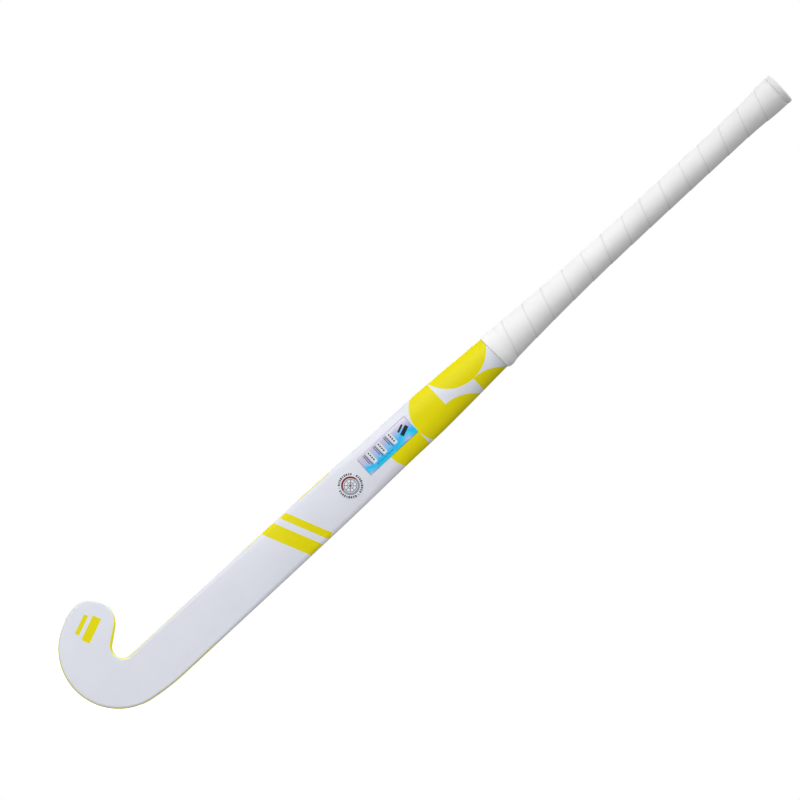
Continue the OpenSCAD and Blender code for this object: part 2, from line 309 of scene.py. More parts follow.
def surface(ribs, spots):
    """Points (x, depth, height) at spots (station, turn); depth is before the bow"""
    rib = rib_at(ribs, spots[:, 0])
    across, depth = section(rib, np.mod(spots[:, 1], 8))
    gap = rib[:, 2:4] - rib[:, 0:2]
    way = gap / np.maximum(np.hypot(*gap.T), 1e-9)[:, None]
    middle = (rib[:, 0:2] + rib[:, 2:4]) / 2 + across[:, None] * way
    return np.column_stack([middle[:, 0], depth, middle[:, 1]])


def bowed(points):
    """Points of (x, depth, height) at their place in the frame, in millimetres"""
    x, depth, h = points.T
    return np.column_stack([x, depth + bow(h), h + BASE_Z])


WAY_STEPS = 48


def way_round(ribs, spots):
    """Share of the way round the section from mid-face, and half the way round in millimetres"""
    parts = np.linspace(0, 1, WAY_STEPS + 1)
    rib = rib_at(ribs, spots[:, 0])[:, None, :]
    turn = np.mod(spots[:, 1], 8)
    folded = np.where(turn > 4, 8 - turn, turn)

    def run(end):
        across, depth = section(rib, end[:, None] * parts)
        return np.hypot(np.diff(across), np.diff(depth)).sum(1)

    half_girth = run(np.full(len(spots), 4.0))
    lap = run(folded) / (2 * half_girth)
    return np.where(turn > 4, 1 - lap, lap), half_girth


# Heights between which shapes are drawn by the way round the section
WRAPPED_FROM, WRAPPED_TO = 180, 560
OUT_OF_REACH = 2 * STICK_LENGTH


def marks_at(ribs, spots, butt):
    """What painted shapes are drawn in, for each spot. Stations past the butt are the laminate's
    inside, whose heights are out of reach of every shape"""
    x, depth, height = surface(ribs, spots).T
    height = np.where(spots[:, 0] > butt, OUT_OF_REACH, height)
    lap, half_girth = np.zeros(len(spots)), np.ones(len(spots))
    wrapped = (height > WRAPPED_FROM) & (height < WRAPPED_TO)
    lap[wrapped], half_girth[wrapped] = way_round(ribs, spots[wrapped])
    return SimpleNamespace(x=x, depth=depth, height=height, lap=lap, half_girth=half_girth)


def surface_normals(ribs, spots):
    """Unit normals of the bowed surface"""
    def slope(spots, station_step, turn_step):
        step = np.array([station_step, turn_step])
        return bowed(surface(ribs, spots + step)) - bowed(surface(ribs, spots - step))

    across = slope(spots, 0, TURN_STEP)
    pinched = np.hypot(*across.T[:2]) + np.abs(across[:, 2]) < 1e-4
    mid_face = spots.copy()
    mid_face[:, 1] = 0
    across[pinched] = slope(mid_face, 0, WIDE_TURN_STEP)[pinched]
    normals = np.cross(across, slope(spots, STATION_STEP, 0))
    length = np.sqrt((normals**2).sum(1))
    tip = np.array([TOE_AXIS[0], 0, TOE_AXIS[1]])
    return np.where(length[:, None] > 1e-9, normals / np.maximum(length, 1e-9)[:, None], tip)


def grid_faces(rows, columns, closed=True):
    """Triangles between neighbouring rows of points; a closed row joins its last point to its first"""
    lower, column = np.meshgrid(np.arange(rows - 1), np.arange(columns - (not closed)), indexing="ij")
    after = (column + 1) % columns
    a, b = lower * columns + column, lower * columns + after
    c, d = b + columns, a + columns
    faces = [np.stack([a, b, c], axis=-1), np.stack([a, c, d], axis=-1)]
    return np.concatenate([face.reshape(-1, 3) for face in faces])


def split(corners, middles):
    """Triangles in place of one whose edges have new points in their middles, or -1 for none"""
    while middles[0] < 0 or (middles[2] >= 0 and middles[1] < 0):
        corners, middles = corners[1:] + corners[:1], middles[1:] + middles[:1]
    (a, b, c), (ab, bc, ca) = corners, middles
    if bc < 0:
        return [(a, ab, c), (ab, b, c)]
    if ca < 0:
        return [(ab, b, bc), (a, ab, bc), (a, bc, c)]
    return [(ab, b, bc), (bc, c, ca), (ca, a, ab), (ab, bc, ca)]


# A point this near an outline counts as on it, and a cut leaves this share of an edge at its ends
SNAP = 0.02
CUT_ROUNDS = 4


class Skin:
    """Triangles over a surface, cut along the outlines of painted shapes. Each point is a spot on
    the surface, and marks are the values that shapes are drawn in."""

    def __init__(self, spots, faces, marks_of, wrap=0):
        self.spots, self.faces, self.marks_of, self.wrap = spots, faces, marks_of, wrap
        self.marks = marks_of(spots)
        self.colour = np.zeros(len(faces), int)

    def toward(self, start, end, t):
        """Spots a share t of the way from start to end, the short way round"""
        way = end - start
        if self.wrap:
            way[:, 1] -= self.wrap * np.round(way[:, 1] / self.wrap)
        return start + way * t

    def cut(self, edge, others, reach=3.0):
        """Cuts along edge = 0 wherever all the other edges are below reach"""
        value = edge(self.marks)
        value[np.abs(value) < SNAP] = 0
        near = np.ones(len(self.faces), bool)
        for other in others:
            near &= other(self.marks)[self.faces].min(1) < reach
        pairs = np.concatenate([self.faces[near][:, [i, (i + 1) % 3]] for i in range(3)])
        pairs = pairs[value[pairs[:, 0]] * value[pairs[:, 1]] < 0]
        if not len(pairs):
            return
        size = len(self.spots)
        keys = np.unique(pairs.min(1) * size + pairs.max(1))
        a, b = keys // size, keys % size
        start, end = self.spots[a], self.spots[b]
        low, high, low_value, high_value = np.zeros(len(a)), np.ones(len(a)), value[a], value[b]
        for _ in range(CUT_ROUNDS):
            t = low + (high - low) * low_value / (low_value - high_value)
            now = edge(self.marks_of(self.toward(start, end, t[:, None])))
            same = now * low_value > 0
            low, low_value = np.where(same, t, low), np.where(same, now, low_value)
            high, high_value = np.where(same, high, t), np.where(same, high_value, now)
        t = np.where(np.abs(low_value) < np.abs(high_value), low, high)
        t = np.clip(t, SNAP, 1 - SNAP)
        self.add_points(self.toward(start, end, t[:, None]))
        self.split_faces(keys, size)

    def add_points(self, spots):
        added = self.marks_of(spots)
        self.spots = np.concatenate([self.spots, spots])
        for name, values in vars(self.marks).items():
            setattr(self.marks, name, np.concatenate([values, getattr(added, name)]))

    def split_faces(self, keys, size):
        """Splits every triangle that has a new point on an edge; point i is on edge keys[i]"""
        middles = np.full(self.faces.shape, -1)
        for i in range(3):
            ends = self.faces[:, [i, (i + 1) % 3]]
            key = ends.min(1) * size + ends.max(1)
            found = np.clip(np.searchsorted(keys, key), 0, len(keys) - 1)
            middles[:, i] = np.where(keys[found] == key, size + found, -1)
        hit = middles.max(1) >= 0
        faces, colours = [self.faces[~hit]], [self.colour[~hit]]
        for face, middle, colour in zip(self.faces[hit], middles[hit], self.colour[hit]):
            new = split(tuple(face), tuple(middle))
            faces.append(np.array(new))
            colours.append(np.full(len(new), colour))
        self.faces, self.colour = np.concatenate(faces), np.concatenate(colours)

    def paint(self, edges, colour):
        """Colours the inside of a shape, which is where all its edges are below zero"""
        for edge in edges:
            self.cut(edge, [other for other in edges if other is not edge])
        a, b, c = (self.spots[self.faces[:, i]] for i in range(3))
        marks = self.marks_of(self.toward(self.toward(a, b, 1 / 2), c, 1 / 3))
        inside = np.all([edge(marks) < 0 for edge in edges], axis=0)
        self.colour[inside] = colour

    def welded(self, points, normals):
        """Points, faces, colours and normals with points in the same place made one"""
        _, first, where = np.unique(
            np.round(points, 3), axis=0, return_index=True, return_inverse=True
        )
        faces = where.reshape(-1)[self.faces]
        real = (faces != np.roll(faces, 1, axis=1)).all(1)
        return points[first], faces[real], self.colour[real], normals[first]


# Edges of painted shapes, each below zero on the inside


def strip(name, low, high):
    """The strip where a mark lies between two values"""
    return lambda marks: np.abs(getattr(marks, name) - (low + high) / 2) - (high - low) / 2


def below(name, high):
    return lambda marks: getattr(marks, name) - high


def turned(marks, centre, angle):
    """Place on the face relative to a centre, along a direction and across it"""
    along_way, x, h = unit(angle), marks.x - centre[0], marks.height - centre[1]
    return x * along_way[0] + h * along_way[1], h * along_way[0] - x * along_way[1]


def bar(centre, angle, length, width):
    return [
        lambda marks: np.abs(turned(marks, centre, angle)[0]) - length / 2,
        lambda marks: np.abs(turned(marks, centre, angle)[1]) - width / 2,
    ]


def disc(centre, r):
    return [lambda marks: np.hypot(marks.x - centre[0], marks.height - centre[1]) - r]


def ring(centre, outer_r, inner_r):
    return [*disc(centre, outer_r), lambda marks: -disc(centre, inner_r)[0](marks)]


# Paint of the stick: white, with yellow shapes, a bare inside, and a yellow back of the head, whose
# spray thins out between two heights and ends at the third
WHITE, YELLOW, SPRAYED, BARE = range(4)
SPRAY_LOW, SPRAY_HIGH, SPRAY_END = 122, 147, 152
# How far below the face the playing side's paint ends: round the toe, by heel and throat, on the
# wall between throat and toe, and on the shaft
TOE_PAINT, HEEL_PAINT, WALL_PAINT, SHAFT_PAINT = 1.7, 0.8, 0.08, 3.0


def paint_edge(marks):
    """Depth where the playing side's paint ends"""
    from_throat = np.hypot(marks.x - THROAT_CENTRE[0], marks.height - THROAT_H) - THROAT_R
    by_heel = np.maximum(share(marks.x, -22, -8), share(marks.height, 30, 8))
    in_throat = ease(share(from_throat, 10, 1))
    on_wall = ease(share(from_throat, 45, 5)) * ease(share(marks.x, -34, -42))
    on_wall = on_wall * share(marks.height, 45, 55)
    on_shaft = share(marks.height, SPRAY_END, SPRAY_END + 40)
    below_face = mix(TOE_PAINT, HEEL_PAINT, ease(by_heel))
    below_face = mix(below_face, HEEL_PAINT, in_throat)
    below_face = mix(below_face, WALL_PAINT, on_wall)
    return mix(below_face, SHAFT_PAINT, on_shaft) - FACE_Y


def on_face(marks):
    return marks.depth - paint_edge(marks)


def on_back(marks):
    return paint_edge(marks) - marks.depth


# The pattern below the grip: quarter discs in three rows of square cells round the shaft, the
# first of which starts at a share of the way round from mid-face
CELL = 38
CELLS_FROM = 389
FIRST_ROW = 0.045
# Each disc as (row, first column, columns, column edge of its centre, side of its centre)
DISCS = [
    (0, 0, 1, 1, -1), (0, 1, 1, 2, -1), (0, 2, 1, 2, 1), (0, 3, 1, 3, 1),
    (1, 1, 1, 1, -1), (1, 2, 1, 2, 1), (1, 3, 1, 4, -1),
    (2, 1, 1, 2, 1), (2, 2, 2, 3, -1),
]


def pattern_disc(row, first, columns, centre_edge, side):
    middle = FIRST_ROW + (row + 0.5) / 3
    low = CELLS_FROM + CELL * first
    centre_h = CELLS_FROM + CELL * centre_edge

    def across(marks):
        return (np.mod(marks.lap - middle + 0.5, 1) - 0.5) * 3 * CELL

    return [
        strip("height", low, low + CELL * columns),
        lambda marks: np.abs(across(marks)) - CELL / 2,
        lambda marks: np.hypot(marks.height - centre_h, across(marks) - side * CELL / 2) - CELL,
    ]


def chevron(point_h, slope, near_side, far_side):
    """Edges of a chevron on the back, whose point looks to the heel side"""
    def from_back(marks):
        return (marks.lap - 0.5) * 2 * marks.half_girth

    return [
        on_back,
        lambda marks: np.abs(marks.height - point_h) - slope * (from_back(marks) - near_side),
        lambda marks: slope * (from_back(marks) - far_side) - np.abs(marks.height - point_h),
    ]


def slanted_bars(centre, angle, length, width):
    """Two plain bars side by side: a wide one, and one half as wide and a little shorter"""
    across = unit(angle + 90)
    return [
        bar(np.array(centre) - 0.3 * width * across, angle, length, width),
        bar(np.array(centre) + 0.9 * width * across, angle, 0.8 * length, 0.5 * width),
    ]


# The chevron's point is level with a rib, which keeps it sharp
CHEVRON_H = THROAT_H + 84 * OUTSIDE_STEP
CHEVRON_SLOPE = 1.107


def paint_stick(skin):
    skin.paint([on_back, below("height", SPRAY_END)], SPRAYED)
    for cell in DISCS:
        skin.paint(pattern_disc(*cell), YELLOW)
    skin.paint(chevron(CHEVRON_H, CHEVRON_SLOPE, near_side=-18, far_side=20), YELLOW)
    for shape in slanted_bars((0, 266), angle=24, length=80, width=15):
        skin.paint([on_face, *shape], YELLOW)
    for shape in slanted_bars((-73, 52), angle=112, length=27, width=9):
        skin.paint([on_face, *shape], YELLOW)
    for shape in slanted_bars((-72, 50), angle=68, length=22, width=8):
        skin.paint([on_back, *shape], WHITE)


# Meshes


def new_object(name, data):
    made = bpy.data.objects.new(name, data)
    bpy.context.scene.collection.objects.link(made)
    return made


def build(name, points, faces, normals=None, materials=(), colours=None):
    """A mesh object from points in millimetres, riding with the stick"""
    mesh = bpy.data.meshes.new(name)
    mesh.from_pydata((points * MM).tolist(), [], [list(map(int, face)) for face in faces])
    for material in materials:
        mesh.materials.append(material)
    if colours is not None:
        mesh.polygons.foreach_set("material_index", np.asarray(colours, np.int32))
    mesh.polygons.foreach_set("use_smooth", np.ones(len(mesh.polygons), bool))
    mesh.update()
    if normals is not None:
        mesh.normals_split_custom_set_from_vertices(normals.tolist())
    piece = new_object(name, mesh)
    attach(piece, "root")
    return piece


def turns_round():
    """Turns of the points of one ring: close together in the corners"""
    heel_half = np.concatenate([
        np.linspace(0, 1, FACE_STEPS + 1)[:-1],
        np.linspace(1, 2, CORNER_STEPS + 1)[:-1],
        np.linspace(2, 4, BACK_STEPS + 1)[:-1],
    ])
    return np.concatenate([heel_half, [4.0], 8 - heel_half[:0:-1]])


def spots_on(ribs, turns):
    station, turn = np.meshgrid(np.arange(len(ribs)), turns, indexing="ij")
    return np.column_stack([station.ravel(), turn.ravel()]).astype(float)


def make_stick(materials):
    """The laminate as one closed skin: outside from toe to butt, and inside back in longer steps"""
    outside, inside = stick_ribs(SKIN_INSET, OUTSIDE_STEP), stick_ribs(WALL, INSIDE_STEP)
    ribs = np.concatenate([outside, inside[::-1]])
    butt = len(outside) - 1
    turns = turns_round()
    skin = Skin(
        spots_on(ribs, turns),
        grid_faces(len(ribs), len(turns)),
        lambda spots: marks_at(ribs, spots, butt),
        wrap=8,
    )
    paint_stick(skin)
    skin.colour[skin.spots[skin.faces, 0].max(1) > butt] = BARE
    points, normals = bowed(surface(ribs, skin.spots)), surface_normals(ribs, skin.spots)
    points, faces, colours, normals = skin.welded(points, normals)
    piece = build("stick_body", points, faces, normals, materials, colours)
    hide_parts("composite_shell")


# Grip


def turn_at(angle):
    """Turn of a point of the round handle at an angle from mid-face, towards the heel side"""
    return np.interp(angle % 360, [0, 90, 270, 360], [1, 2, 6, 7])


def on_handle(h, angle, lift):
    """Points on the handle, lifted off the laminate"""
    ribs = shaft_ribs(0, h)
    turn = turn_at(angle)

    def outline(turn):
        return np.stack(section(ribs, turn), axis=-1)

    way = outline(turn + TURN_STEP) - outline(turn - TURN_STEP)
    outward = np.stack([way[:, 1], -way[:, 0]], axis=-1) / np.hypot(*way.T)[:, None]
    x, depth = (outline(turn) + outward * lift[:, None]).T
    return np.column_stack([x, depth, h])


def sleeve_rows(rows, wave=0.0):
    """Rings round the handle as (height, lift). A wave tilts those of the band up at the heel side
    and down at the toe side."""
    rings = []
    for h, lift in rows:
        tilt = wave * max(0.0, 1 - (h - GRIP_START) / (BAND_TOP - GRIP_START))
        heights = h + tilt * np.sin(np.radians(ANGLES))
        rings.append(bowed(on_handle(heights, ANGLES, np.broadcast_to(lift, COLUMNS))))
    return np.concatenate(rings)


SEAM_PITCH = 26.5
SEAM_AT = 556.0
# Profile of one wrap of tape as (share of the pitch, rise), and the lines of it in the seam's groove,
# which take a slightly darker colour: painted shade in the groove
WRAP = [(0.0, 0.0), (0.02, 0.06), (0.05, 0.34), (0.08, 0.46), (0.11, 0.43), (0.145, 0.27),
        (0.18, 0.41), (0.25, 0.38), (0.5, 0.3), (0.8, 0.24), (0.94, 0.2), (0.98, 0.1)]
SHADED_SEAM_LINES = (0, 1, len(WRAP) - 1)
WRAP_RISE = max(rise for _, rise in WRAP)
MOST_LIFT = UNDERLAY_T + TAPE_T - 0.03
WRAPS = math.ceil((CAP_SEAT - BAND_TOP) / SEAM_PITCH)
INNER_RINGS = 16
# The seam colour is a little darker than the tape: painted shade in the seam's groove
TAPE, SEAM_SHADE = range(2)


def seam_height(laps):
    """Height of the tape's edge after a number of laps, wound by hand and so a little uneven"""
    return SEAM_AT + SEAM_PITCH * laps + 0.9 * np.sin(2.3 * laps) + 0.5 * np.sin(5.1 * laps + 1)


def wrap_lift(h, angle):
    """Lift of the tape, which rises over the edge of the wrap before it"""
    laps = np.linspace(-2, WRAPS + 1, 2000)
    phase = np.mod(np.interp(h, seam_height(laps), laps) + angle / 360, 1)
    share_of_pitch, rise = np.array(WRAP + [(1.0, 0.0)]).T
    return MOST_LIFT - WRAP_RISE + np.interp(phase, share_of_pitch, rise)


def wound_net():
    """The grip's outside as a net: points (height, angle), faces, colours and the points of both
    rims. Its lines wind round the handle: at the end of a lap each one meets the same line of the
    wrap below."""
    number, points, faces, colours = {}, [], [], []

    def point_at(h, column):
        key = (round(h, 4), column)
        if key not in number:
            number[key] = len(points)
            points.append((h, column * 360 / COLUMNS))
        return number[key]

    def crossing(line, column):
        if column == COLUMNS:
            line, column = line - len(WRAP), 0
        lap = line // len(WRAP) + WRAP[line % len(WRAP)][0]
        h = float(seam_height(lap - column / COLUMNS))
        return point_at(min(max(h, BAND_TOP), CAP_SEAT), column)

    for line in range(-len(WRAP), (WRAPS + 2) * len(WRAP)):
        # Lines in the seam's groove take the seam colour, which is painted shade
        colour_of_line = SEAM_SHADE if line % len(WRAP) in SHADED_SEAM_LINES else TAPE
        for column in range(COLUMNS):
            corners = [
                crossing(line, column),
                crossing(line, column + 1),
                crossing(line + 1, column + 1),
                crossing(line + 1, column),
            ]
            corners = list(dict.fromkeys(corners))
            if len(corners) > 2:
                faces.append(corners)
                colours.append(colour_of_line)
    rims = [[point_at(h, column) for column in range(COLUMNS)] for h in (BAND_TOP, CAP_SEAT)]
    return np.array(points), faces, colours, rims


def make_grip(materials):
    """The wound tape, closed by both ends and a plain inside"""
    points, faces, colours, (low, top) = wound_net()
    h, angle = points.T
    outer = bowed(on_handle(h, angle, wrap_lift(h, angle)))
    heights = np.linspace(BAND_TOP, CAP_SEAT, INNER_RINGS)
    inner = sleeve_rows([(height, UNDERLAY_T) for height in heights])
    first = len(outer)
    last = first + (INNER_RINGS - 1) * COLUMNS
    faces += (grid_faces(INNER_RINGS, COLUMNS)[:, ::-1] + first).tolist()
    for column in range(COLUMNS):
        after = (column + 1) % COLUMNS
        faces.append([low[column], first + column, first + after, low[after]])
        faces.append([top[column], top[after], last + after, last + column])
    colours += [TAPE] * (len(faces) - len(colours))
    piece = build("grip_wrap", np.concatenate([outer, inner]), faces, None, materials, colours)
    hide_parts("grip_tape")


# The band's outline as (height above its lower edge, lift off the laminate, bulge at the heel)
BAND_LOW = GRIP_START - 0.4
BAND_WAVE = 0.9
BAND_OUTLINE = [
    (0.0, 0.0, 0.0), (0.05, 0.3, 0.0), (0.3, 0.62, 0.05), (0.9, 0.9, 0.2), (2.0, 1.08, 0.5),
    (3.5, 1.2, 0.8), (5.5, 1.3, 1.0), (7.5, 1.34, 1.0), (9.5, 1.36, 0.75), (11.4, 1.34, 0.4),
    (13.2, 1.32, 0.15), (14.6, 1.3, 0.02), (14.8, 1.22, 0.0), (14.8, 0.8, 0.0),
    (10.9, UNDERLAY_T, 0.0),
]


def make_band(materials):
    """Finishing tape, which rises over the end of the grip and bulges at the heel side, with a painted
    shadow line along its lower edge
    """
    to_heel = np.sin(np.radians(ANGLES))
    rows = [
        (BAND_LOW + up, lift + bulge * mix(0.35, 1, to_heel))
        for up, lift, bulge in BAND_OUTLINE
    ]
    points = sleeve_rows(rows, BAND_WAVE)
    faces = grid_faces(len(rows) + 1, COLUMNS) % len(points)
    # The faces of the first rows, at the band's lower edge, take the second colour: a dark brown
    # painted shadow line under the band's edge
    lower_edge_shadow = faces.max(1) < 3 * COLUMNS
    piece = build("grip_band", points, faces, None, materials, lower_edge_shadow)
    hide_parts("grip_finishing_band")


CAP_R = (HANDLE_W + BUTT_FLARE) / 2 + UNDERLAY_T + TAPE_T
CAP_H = STICK_LENGTH - CAP_SEAT
CAP_EDGE_R = 2
SPIGOT_R, SPIGOT_H = 6, 24
GROOVE_R = 12.6
DIMPLE_DEPTH = 0.45


def cap_outline():
    """Points (radius, height above the cap's seat), from the spigot's end to the top's centre"""
    edge = [
        (CAP_R - CAP_EDGE_R * (1 - math.cos(t)), CAP_H - CAP_EDGE_R * (1 - math.sin(t)))
        for t in np.linspace(0, math.pi / 2, 8)
    ]
    half_groove = [(1.0, 0.0), (0.7, 0.1), (0.5, 0.5), (0.0, 0.65)]
    inner_half = [(-side, depth) for side, depth in half_groove[-2::-1]]
    groove = [(GROOVE_R + side, CAP_H - depth) for side, depth in half_groove + inner_half]
    dimple = [(2.6, CAP_H - 0.05), (2.3, CAP_H - 0.3), (1.2, CAP_H - DIMPLE_DEPTH)]
    waist = [(CAP_R - 0.35, 0), (CAP_R - 0.35, 0.5), (CAP_R - 0.1, 0.75), (CAP_R, 1.0)]
    return [(SPIGOT_R, -SPIGOT_H), (SPIGOT_R, 0), *waist, *edge, *groove, *dimple]


def make_cap(materials):
    """The cap turned round the handle's axis, with a point closing each end"""
    outline = cap_outline()
    seat = CAP_SEAT + BASE_Z
    points = np.concatenate([
        np.column_stack([r * unit(ANGLES), np.full(COLUMNS, seat + up)]) for r, up in outline
    ])
    ends = [(0, 0, seat - SPIGOT_H), (0, 0, seat + CAP_H - DIMPLE_DEPTH)]
    faces = grid_faces(len(outline), COLUMNS).tolist()
    last = len(points) - COLUMNS
    for column in range(COLUMNS):
        after = (column + 1) % COLUMNS
        faces.append([after, column, len(points)])
        faces.append([last + column, last + after, len(points) + 1])
    piece = build("butt_end_cap", np.vstack([points, *ends]), faces, None, materials)
    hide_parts("butt_cap")


# Labels: thin sheets between these two distances off the stick's face
DECAL_BACK, DECAL_FRONT = 0.02, DECAL_GAP + DECAL_T


def front_at(x, h):
    """Depth of the playing side at a place on the shaft"""
    rib = shaft_ribs(0, h)
    corner = rib[:, 5]
    t = np.maximum(0, np.abs(x) - (rib[:, 2] - corner)) / corner
    crowned = rib[:, 6] * (1 - rib[:, 9] * (x / rib[:, 2]) ** 2)
    return rib[:, 4] - crowned * np.sqrt(1 - t * t)


def label_marks(spots):
    """On a label, a spot is the place (x, height) itself"""
    return SimpleNamespace(x=spots[:, 0], height=spots[:, 1])


def label_skin(centre, width, length, step):
    xs = np.linspace(centre[0] - width / 2, centre[0] + width / 2, round(width / step) + 1)
    hs = np.linspace(centre[1] - length / 2, centre[1] + length / 2, round(length / step) + 1)
    x, h = np.meshgrid(xs, hs, indexing="xy")
    spots = np.column_stack([x.ravel(), h.ravel()])
    return Skin(spots, grid_faces(len(hs), len(xs), closed=False), label_marks)


def rounded_box(centre, width, length, r):
    def edge(marks):
        over_x = np.abs(marks.x - centre[0]) - width / 2 + r
        over_h = np.abs(marks.height - centre[1]) - length / 2 + r
        inside = np.minimum(np.maximum(over_x, over_h), 0)
        return np.hypot(np.maximum(over_x, 0), np.maximum(over_h, 0)) + inside - r

    return [edge]


OUTSIDE = -1


def make_label(name, skin, outline, materials, node_name):
    """A thin printed sheet on the face, cut to an outline and closed at its back and rim"""
    skin.paint([lambda marks: -outline[0](marks)], OUTSIDE)
    kept = skin.colour != OUTSIDE
    faces, colours = skin.faces[kept], skin.colour[kept]
    used, faces = np.unique(faces, return_inverse=True)
    faces = faces.reshape(-1, 3)
    x, h = skin.spots[used].T
    front, back = (
        bowed(np.column_stack([x, front_at(x, h) - gap, h])) for gap in (DECAL_FRONT, DECAL_BACK)
    )
    sides = np.concatenate([faces[:, [i, (i + 1) % 3]] for i in range(3)])
    known = {tuple(side) for side in sides.tolist()}
    rim = [side for side in sides.tolist() if (side[1], side[0]) not in known]
    size = len(front)
    rim_faces = [[b, a, a + size, b + size] for a, b in rim]
    all_faces = faces.tolist() + (faces[:, ::-1] + size).tolist() + rim_faces
    all_colours = colours.tolist() + [0] * (len(faces) + len(rim_faces))
    piece = build(name, np.concatenate([front, back]), all_faces, None, materials, all_colours)
    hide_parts(node_name)


def label_place(low, high):
    """Centre, width and length of a CAD label on the face, from its box"""
    centre = ((low.x + high.x) / 2 / MM, (low.z + high.z) / 2 / MM - BASE_Z)
    return centre, (high.x - low.x) / MM, (high.z - low.z) / MM


# Colours of the foil beside the foil itself, and where its three white boxes are
INK, LABEL_WHITE = 1, 2
BOX_X, BOX_HEIGHTS, BOX_LENGTH = -6.5, (375, 388.5, 402.5), 13


def make_foil(materials):
    """Foil with two bars, three boxes of four dots over two lines each, and a column of ticks"""
    centre, width, length = label_place(*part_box("foil_label"))
    skin = label_skin(centre, width, length, 1.5)
    for h in BOX_HEIGHTS:
        skin.paint(rounded_box((BOX_X, h), BOX_LENGTH, 4.6, 0.8), LABEL_WHITE)
        skin.paint(bar((BOX_X, h - 4.0), 0, BOX_LENGTH, 0.8), INK)
        skin.paint(bar((BOX_X - 1.5, h - 5.8), 0, BOX_LENGTH - 3, 0.8), INK)
        for x in (-11.2, -8.6, -6.0, -3.4):
            skin.paint(bar((x, h), 0, 1.7, 1.6), INK)
    for h in np.arange(376, 396, 2.2):
        skin.paint(bar((2.6, h), 90, 1.4, 0.5), INK)
    for shape in slanted_bars((-5, 416.5), angle=112, length=11, width=4):
        skin.paint(shape, INK)
    make_label("foil_sticker", skin, rounded_box(centre, width, length, 1.2), materials,
               "foil_label")


# Colours of the seal beside its white ground, and the circle that its ticks stand on
SEAL_INK, SEAL_GREY, SEAL_RED = 1, 2, 3
TICKS_R = 11.6
TICKS, TICK_ANGLE = 9, 11.2


def make_seal(materials):
    """White seal with three rings, spokes, and three groups of ticks round its rim"""
    centre, width, _ = label_place(*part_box("round_seal"))
    skin = label_skin(centre, width, width, 1.0)

    def tick(angle, tall, wide):
        skin.paint(bar(np.array(centre) + TICKS_R * unit(angle), angle, tall, wide), SEAL_INK)

    def toe_side(marks):
        return marks.x - centre[0] + 1.5

    skin.paint(ring(centre, 9.4, 7.4), SEAL_GREY)
    skin.paint([*ring(centre, 9.4, 7.4), toe_side], SEAL_RED)
    skin.paint(ring(centre, 6.6, 6.0), SEAL_INK)
    skin.paint(ring(centre, 3.5, 3.0), SEAL_GREY)
    for angle in range(0, 180, 45):
        skin.paint(bar(centre, angle, 12, 0.45), SEAL_INK)
    for gap in (0, 120, 240):
        for i in range(TICKS):
            angle = gap + 60 + TICK_ANGLE * (i - (TICKS - 1) / 2)
            tick(angle, tall=2.3 if i % 2 else 2.0, wide=(1.5, 1.1, 1.7)[i % 3])
        tick(gap, tall=2.3, wide=0.4)
    make_label("printed_seal", skin, disc(centre, width / 2), materials, "round_seal")


# Materials


def node(tree, kind, inputs=None, **settings):
    """One shader node: its settings, and its inputs as values or as other nodes' outputs"""
    made = tree.nodes.new("ShaderNode" + kind)
    for name, value in settings.items():
        setattr(made, name, value)
    for socket, value in (inputs or {}).items():
        if isinstance(value, bpy.types.NodeSocket):
            tree.links.new(value, made.inputs[socket])
        else:
            made.inputs[socket].default_value = value
    return made


def new_material(name):
    material = bpy.data.materials.new(name)
    material.use_nodes = True
    tree = material.node_tree
    tree.nodes.clear()
    return material, tree


def object_place(tree):
    return node(tree, "TexCoord").outputs["Object"]


def noise(tree, scale, detail=3.0):
    inputs = {"Vector": object_place(tree), "Scale": scale, "Detail": detail}
    return node(tree, "TexNoise", inputs).outputs["Fac"]


def mapped(tree, value, low, high, to_low, to_high, **settings):
    inputs = {"Value": value, "From Min": low, "From Max": high, "To Min": to_low, "To Max": to_high}
    return node(tree, "MapRange", inputs, **settings).outputs["Result"]


def added(tree, a, b):
    return node(tree, "Math", {0: a, 1: b}, operation="ADD").outputs[0]


def blend_colours(tree, share_socket, a, b, kind="MIX"):
    """Mix of two colours; its colour sockets are the seventh and eighth inputs"""
    inputs = {0: share_socket, 6: a, 7: b}
    return node(tree, "Mix", inputs, data_type="RGBA", blend_type=kind).outputs[2]


def grey(tree, tone):
    return node(tree, "CombineColor", {"Red": tone, "Green": tone, "Blue": tone}).outputs[0]


def tinted(tree, base, tone):
    """A base colour made lighter and darker by a tone near 1"""
    return blend_colours(tree, 1.0, base, grey(tree, tone), "MULTIPLY")


def bump(tree, height, strength, distance, **under):
    inputs = {"Height": height, "Strength": strength, "Distance": distance, **under}
    return node(tree, "Bump", inputs).outputs["Normal"]


def principled(tree, inputs):
    shader = node(tree, "BsdfPrincipled", inputs)
    out = node(tree, "OutputMaterial")
    tree.links.new(shader.outputs[0], out.inputs["Surface"])


def colour(r, g, b):
    """Linear colour from 0-255 display values"""
    def linear(c):
        c /= 255
        return c / 12.92 if c <= 0.04045 else ((c + 0.055) / 1.055) ** 2.4

    return (linear(r), linear(g), linear(b), 1.0)


WHITE_LACQUER = colour(228, 231, 240)
YELLOW_LACQUER = colour(233, 222, 3)
LEMON_LACQUER = colour(234, 232, 3)


def lacquer_finish(tree, base, gloss=0.2):
    """Satin lacquer: faint mottle, orange peel and a thin clear coat over a base colour"""
    mottle = mapped(tree, noise(tree, 35.0, 4.0), 0.3, 0.7, 0.985, 1.015)
    peel = noise(tree, 900.0, 2.0)
    principled(tree, {
        "Base Color": tinted(tree, base, mottle),
        "Roughness": mapped(tree, noise(tree, 220.0), 0.3, 0.7, 0.36, 0.46),
        "Specular IOR Level": gloss,
        "Coat Weight": 0.3 * gloss,
        "Coat Roughness": 0.2,
        "Normal": bump(tree, peel, 0.06, 0.0003),
    })


def lacquer(name, base, gloss):
    material, tree = new_material(name)
    lacquer_finish(tree, base, gloss)
    return material


